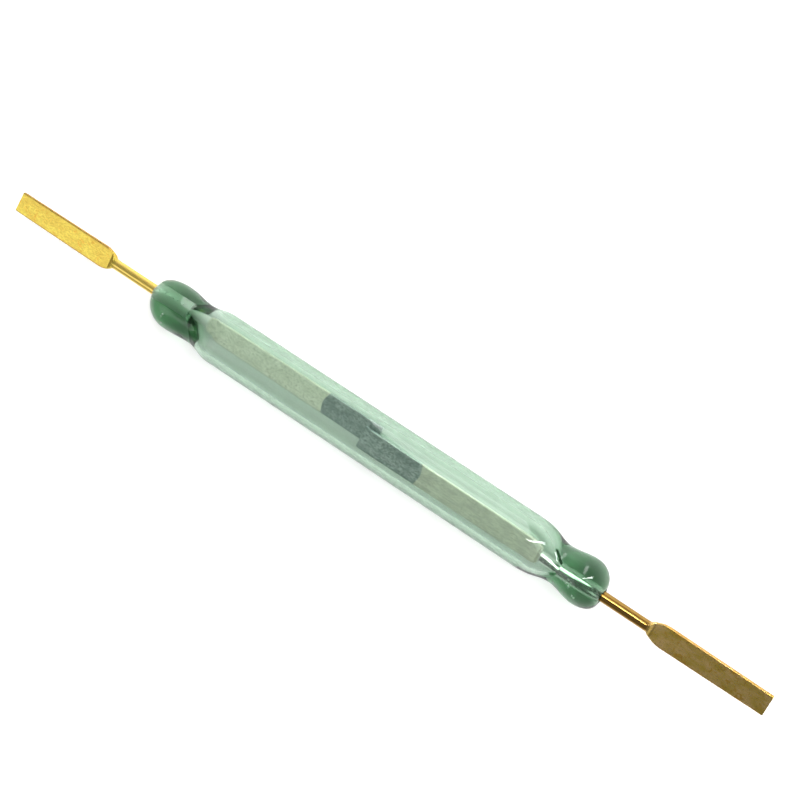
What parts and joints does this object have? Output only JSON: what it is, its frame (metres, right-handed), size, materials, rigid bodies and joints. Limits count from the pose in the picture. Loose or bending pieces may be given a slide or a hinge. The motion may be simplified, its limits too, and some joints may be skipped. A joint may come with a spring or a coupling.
{
  "type": "glass reed switch",
  "caption": "Normally open reed switch: a slim green glass tube with beaded ends holds overlapping flat reeds, whose gold-plated flat tails are soldered into a circuit and close near a magnet.",
  "frame": {"origin": "middle of the glass tube, on its axis, which is also the middle of the gap between the contacts", "axes": "+X along the tube towards the right-hand tail, +Z normal to the flats of the reeds and tails, +Y across their width"},
  "size_m": [0.0864, 0.0052, 0.0052],
  "materials": {
    "green_glass": "clear pale green sealing glass, fire polished",
    "gold_plate": "thin gold plating over nickel-iron wire, satin on the pressed flats, glossy on the round stem",
    "reed_metal": "bare nickel-iron, matt from pressing and annealing",
    "contact_plating": "dull dark grey precious-metal contact plating"
  },
  "bodies": {
    "capsule": {"glass_envelope": "green_glass", "left_lead": "gold_plate", "right_lead": "gold_plate"},
    "left_blade": {"left_reed": "reed_metal", "left_contact": "contact_plating"},
    "right_blade": {"right_reed": "reed_metal", "right_contact": "contact_plating"}
  },
  "joints": [
    {"name": "left_reed_flex", "type": "hinge", "parent": "capsule", "child": "left_blade", "pos_m": [-0.016, 0.0003, -0.00034], "axis": [0, -1, 0], "range_deg": [0, 0.42], "stiffness_Nm_per_rad": 0.2},
    {"name": "right_reed_flex", "type": "hinge", "parent": "capsule", "child": "right_blade", "pos_m": [0.016, -0.0003, 0.00034], "axis": [0, -1, 0], "range_deg": [0, 0.42], "stiffness_Nm_per_rad": 0.2}
  ],
  "couplings": [
    {"joint": "right_reed_flex", "follows": "left_reed_flex", "ratio": 1}
  ]
}
